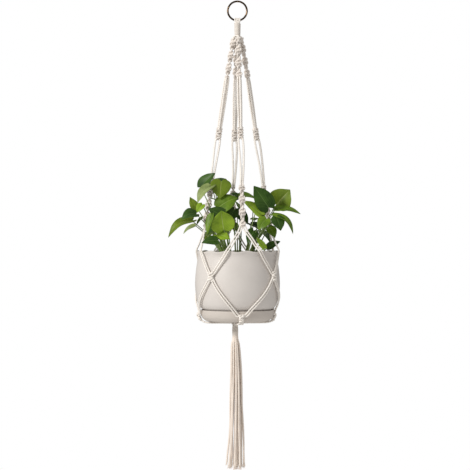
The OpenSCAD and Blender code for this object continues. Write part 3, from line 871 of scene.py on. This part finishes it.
# Leaf base, tip, width, upper face's way, stalk's direction, material, fold, droop
LEAVES = {
    "upper_left": [
        ((-82, -22, -417), (-50, -34, -386), 34, (-0.3, -0.8, 0.6), 214, LEAF_DARK, 0.30, 0.05),
        ((-50, 18, -410), (-24, 34, -397), 26, (0, -0.3, 1), 150, LEAF_DARK, 0.35, 0.15),
        ((-36, -38, -404), (-40, -50, -443), 44, (0.1, -0.9, 0.4), 239, LEAF_OLIVE, 0.12, 0.10),
        ((-56, -42, -415), (-88, -58, -454), 27, (-0.4, -0.7, 0.55), 222, LEAF_GREY, 0.45, 0.20),
        ((-91, 12, -464), (-107, 4, -438), 21, (-0.5, -0.8, 0.3), 170, LEAF_OLIVE, 0.30, 0.05),
        ((-42, -46, -462), (0, -38, -440), 40, (0.1, -0.9, 0.5), 228, LEAF_MID, 0.15, 0.12),
        ((-78, -34, -456), (-90, -42, -474), 18, (-0.2, -0.9, 0.4), 195, LEAF_LIME, 0.30, 0.12)],
    "lower_left": [
        ((-92, -26, -477), (-124, -36, -489), 34, (-0.3, -0.7, 0.7), 218, LEAF_DARK, 0.30, 0.20),
        ((-102, 16, -492), (-155, -4, -530), 26, (-0.3, -0.75, 0.6), 160, LEAF_OLIVE, 0.25, 0.28),
        ((-96, 42, -502), (-123, 46, -521), 14, (-0.2, -0.6, 0.8), 156, LEAF_GREY, 0.30, 0.15),
        ((-30, -58, -484), (-64, -66, -466), 32, (-0.1, -0.9, 0.4), 243, LEAF_DARK, 0.15, 0.10),
        ((-56, -78, -480), (-66, -84, -522), 20, (-0.7, -0.7, 0.2), 227, LEAF_MID, 0.50, 0.05),
        ((-44, -84, -536), (-78, -92, -541), 24, (0, -0.8, 0.6), 246, LEAF_DARK, 0.15, 0.12)],
    "centre": [
        ((-30, -69, -512), (-35, -92, -471), 51, (0.1, -0.95, 0.35), 251, LEAF_LIME, 0.12, -0.10),
        ((-46, -62, -522), (-16, -70, -533), 26, (0, -0.8, 0.6), 234, LEAF_LIME, 0.20, 0.10),
        ((-8, -8, -448), (42, -16, -443), 31, (0.1, -0.5, 0.9), 225, LEAF_MID, 0.20, 0.25),
        ((53, -44, -479), (12, -44, -448), 27, (0.3, -0.8, 0.6), 313, LEAF_LIME, 0.25, 0.10),
        ((0, 6, -470), (24, -6, -500), 26, (0.2, -0.9, 0.4), 90, LEAF_DARK, 0.15, 0.10),
        ((8, 18, -470), (-14, 44, -442), 34, (0, 0.4, 0.9), 60, LEAF_MID, 0.15, 0.12)],
    "right": [
        ((69, -38, -462), (36, -50, -415), 42, (-0.2, -0.9, 0.5), 324, LEAF_DARK, 0.18, 0.05),
        ((88, -4, -455), (118, -11, -422), 52, (0.15, -0.9, 0.4), 343, LEAF_OLIVE, 0.12, 0.06),
        ((84, -18, -467), (141, -20, -477), 27, (0.3, -0.5, 0.85), 338, LEAF_MID, 0.30, 0.12),
        ((80, -32, -481), (123, -40, -522), 25, (0.5, -0.5, 0.75), 336, LEAF_MID, 0.30, 0.25),
        ((86, -46, -484), (96, -54, -514), 30, (0.3, -0.9, 0.3), 329, LEAF_DARK, 0.20, 0.05)],
    "lower_right": [
        ((64, -50, -488), (46, -58, -512), 28, (-0.1, -0.85, 0.5), 319, LEAF_MID, 0.20, 0.10),
        ((60, -54, -553), (42, -46, -529), 14, (0.2, -0.9, 0.4), 318, LEAF_LIME, 0.30, 0.05),
        ((68, 8, -552), (97, 12, -538), 18, (0.1, -0.8, 0.6), 7, LEAF_DARK, 0.20, 0.10)],
    "back": [
        ((40, 62, -490), (66, 96, -500), 34, (0.4, 0.5, 0.8), 57, LEAF_MID, 0.20, 0.20),
        ((-44, 60, -484), (-70, 96, -505), 34, (-0.4, 0.6, 0.7), 128, LEAF_DARK, 0.18, 0.15),
        ((36, 48, -460), (58, 78, -446), 30, (0.3, 0.6, 0.8), 50, LEAF_OLIVE, 0.20, 0.12),
        ((-38, 48, -456), (-62, 78, -440), 30, (-0.3, 0.6, 0.8), 136, LEAF_MID, 0.20, 0.12),
        ((52, 58, -516), (76, 84, -544), 24, (0.5, 0.6, 0.6), 48, LEAF_DARK, 0.25, 0.20),
        ((-54, 56, -516), (-74, 84, -540), 26, (-0.5, 0.6, 0.6), 134, LEAF_LIME, 0.25, 0.15)],
    "inner": [
        ((6, -4, -440), (-18, -12, -432), 16, (0, -0.6, 0.8), 326, LEAF_DARK, 0.25, 0.15),
        ((-6, -22, -466), (-18, -36, -494), 28, (0, -0.9, 0.4), 255, LEAF_DARK, 0.15, 0.10),
        ((-40, -20, -500), (-22, -30, -528), 26, (0, -0.9, 0.4), 202, LEAF_MID, 0.15, 0.12),
        ((-54, -30, -500), (-66, -48, -524), 22, (-0.3, -0.8, 0.5), 209, LEAF_DARK, 0.20, 0.10),
        ((36, -36, -514), (22, -46, -542), 24, (0.1, -0.9, 0.4), 304, LEAF_DARK, 0.18, 0.10),
        ((70, -22, -506), (84, -30, -530), 24, (0.3, -0.8, 0.5), 347, LEAF_MID, 0.20, 0.12),
        ((44, -24, -460), (58, -34, -486), 28, (0.3, -0.8, 0.5), 304, LEAF_DARK, 0.15, 0.08),
        ((-20, 20, -500), (4, 34, -516), 28, (0, 0.5, 0.8), 135, LEAF_MID, 0.15, 0.15),
        ((30, 24, -498), (52, 34, -514), 28, (0.3, 0.4, 0.8), 39, LEAF_DARK, 0.18, 0.15),
        ((-70, 24, -484), (-92, 30, -500), 26, (-0.4, 0.2, 0.9), 163, LEAF_MID, 0.20, 0.18)],
}
STALK_R = 1.2


def leaf_half(t):
    """Half width of a heart-shaped leaf at share t of its length."""
    point = max(0.0, t - 0.72) / 0.28
    return max(0.0, math.sin(math.pi * (0.04 + 0.96 * t) ** 0.6)) ** 0.72 * (1 - 0.30 * point)


def make_leaf(name, row, nodes, rng):
    base, tip, width, facing, _, material, fold, droop = row
    base, tip = vec(*base), vec(*tip)
    length = np.linalg.norm(tip - base)
    x = unit(tip - base)
    y = unit(np.cross(vec(*facing), x))
    z = np.cross(x, y)
    n, m = 30, 20
    lag = rng.uniform(0, 6.28)
    grid, uv = [], []
    for j in range(n + 1):
        t = j / n
        half = 0.53 * width * leaf_half(t)
        for k in range(m + 1):
            v = 2 * k / m - 1
            lobe = -0.13 * length * (1 - t) ** 3 * math.sin(math.pi * min(1, abs(v)) * 0.72)
            px, py = length * t + lobe, half * v
            pz = fold * abs(py) * (0.9 - 0.35 * abs(v))
            pz += droop * length * (math.sin(math.pi * min(1, t * 0.98)) - 0.35 * t * 0)
            pz += 0.018 * width * math.sin(9 * t + lag + 1.5 * v) * abs(v) ** 2
            ridge = math.sin(25 * (t - 0.28 * abs(v)) * 2)
            pz += 0.22 * abs(ridge) ** 0.6 * (1 - abs(v) ** 4) * min(1, 4 * abs(v)) - 0.12
            pz -= 0.35 * math.exp(-(py / 0.9) ** 2)
            grid.append(base + x * px + y * py + z * pz)
            uv.append((t, 0.5 + 0.5 * v))
    grid = np.array(grid).reshape(n + 1, m + 1, 3)
    du, dv = np.gradient(grid, axis=0), np.gradient(grid, axis=1)
    normal = np.cross(du, dv)
    size = np.linalg.norm(normal, axis=2)[:, :, None]
    normal = np.where(size > 1e-9, normal / np.maximum(size, 1e-9), z)
    thick = 0.42
    top = (grid + normal * thick / 2).reshape(-1, 3)
    under = (grid - normal * thick / 2).reshape(-1, 3)
    count = (n + 1) * (m + 1)
    faces = []
    for j in range(n):
        for k in range(m):
            a = j * (m + 1) + k
            quad = (a, a + m + 1, a + m + 2, a + 1)
            faces.append(quad)
            faces.append(tuple(q + count for q in reversed(quad)))
    edge = [k for k in range(m + 1)] + [j * (m + 1) + m for j in range(1, n + 1)]
    edge += [n * (m + 1) + k for k in range(m - 1, -1, -1)] + [j * (m + 1) for j in range(n - 1, 0, -1)]
    for a, b in zip(edge, edge[1:] + edge[:1]):
        faces.append((a, b, b + count, a + count))
    shape = Shape()
    shape.add(np.vstack([top, under]), faces, uv + uv)
    shape.piece(name, material, "pot", nodes)


def stalk_points(row):
    base, turn = vec(*row[0]), row[4]
    out_r = min(54, math.hypot(base[0], base[1]))
    share = 0.4 + 0.3 * math.fmod(-base[2], 37) / 37
    foot = polar(share * out_r, turn, LIP_Z - SOIL_DROP - 2)
    bend = polar(out_r, turn, foot[2] + 0.55 * (base[2] - foot[2]))
    return [(1 - t) ** 2 * foot + 2 * t * (1 - t) * bend + t * t * base for t in np.linspace(0, 1, 9)]


def make_plant():
    rng = random.Random(19)
    stalks = Shape()
    for group, rows in LEAVES.items():
        for k, row in enumerate(rows):
            make_leaf(f"{group}_leaf_{k + 1}", row, [f"{group}_leaves"] if k == 0 else [], rng)
            path = smooth_path(stalk_points(row), 3.0)
            taper = np.linspace(1.35, 0.8, len(path))
            sweep(stalks, path, STALK_R * taper, 8)
    stalks.piece("leaf_stalks", STALK, "pot", ["stems"])


make_plant()


# --------------------------------------------------------- floor and light

def area_light(name, place, size, power, target=(0, 0, -0.55), color=(1, 1, 1)):
    data = bpy.data.lights.new(name, "AREA")
    data.size = size
    data.energy = power
    data.color = color
    light = bpy.data.objects.new(name, data)
    bpy.context.scene.collection.objects.link(light)
    light.location = place
    aim(light, target)


FLOOR_R, FLOOR_Z = 1.35, -1.3


def make_studio():
    """A pale floor that fades out at its rim, soft lights and a white backdrop."""
    floor_mesh = bpy.data.meshes.new("floor")
    rim = [(FLOOR_R * math.cos(a), FLOOR_R * math.sin(a), FLOOR_Z)
           for a in np.linspace(0, 2 * math.pi, 96, endpoint=False)]
    floor_mesh.from_pydata(rim, [], [tuple(range(96))])
    material, tree, shader = new_material("floor", (0.93, 0.93, 0.92), 0.9)
    reach = tree.nodes.new("ShaderNodeVectorMath")
    reach.operation = "LENGTH"
    flat = coordinates(tree, "Object", (1, 1, 0))
    tree.links.new(flat, reach.inputs[0])
    fade = tree.nodes.new("ShaderNodeMapRange")
    fade.interpolation_type = "SMOOTHSTEP"
    for name, value in (("From Min", 0.25), ("From Max", 1.3), ("To Min", 1.0), ("To Max", 0.0)):
        fade.inputs[name].default_value = value
    tree.links.new(reach.outputs["Value"], fade.inputs["Value"])
    tree.links.new(fade.outputs["Result"], shader.inputs["Alpha"])
    floor_mesh.materials.append(material)
    floor = bpy.data.objects.new("floor", floor_mesh)
    bpy.context.scene.collection.objects.link(floor)

    world = bpy.data.worlds.new("studio")
    world.use_nodes = True
    tree = world.node_tree
    backdrop = tree.nodes["Background"]
    backdrop.inputs["Color"].default_value = (1, 1, 1, 1)
    backdrop.inputs["Strength"].default_value = 1.0
    room = tree.nodes.new("ShaderNodeBackground")
    room.inputs["Color"].default_value = (1.0, 0.985, 0.97, 1)
    room.inputs["Strength"].default_value = 0.55
    seen = tree.nodes.new("ShaderNodeLightPath")
    mirrored = tree.nodes.new("ShaderNodeBackground")
    mirrored.inputs["Color"].default_value = (1.0, 0.99, 0.98, 1)
    mirrored.inputs["Strength"].default_value = 0.22
    gloss = tree.nodes.new("ShaderNodeMixShader")
    tree.links.new(seen.outputs["Is Glossy Ray"], gloss.inputs[0])
    tree.links.new(room.outputs[0], gloss.inputs[1])
    tree.links.new(mirrored.outputs[0], gloss.inputs[2])
    mix = tree.nodes.new("ShaderNodeMixShader")
    tree.links.new(seen.outputs["Is Camera Ray"], mix.inputs[0])
    tree.links.new(gloss.outputs[0], mix.inputs[1])
    tree.links.new(backdrop.outputs[0], mix.inputs[2])
    tree.links.new(mix.outputs[0], tree.nodes["World Output"].inputs["Surface"])
    bpy.context.scene.world = world
    area_light("key", (-2.2, -1.9, 0.75), 0.8, 72, color=(1, 0.99, 0.975))
    area_light("fill", (2.2, -1.6, 0.6), 1.6, 3)
    bpy.context.scene.view_settings.view_transform = "Standard"


make_studio()
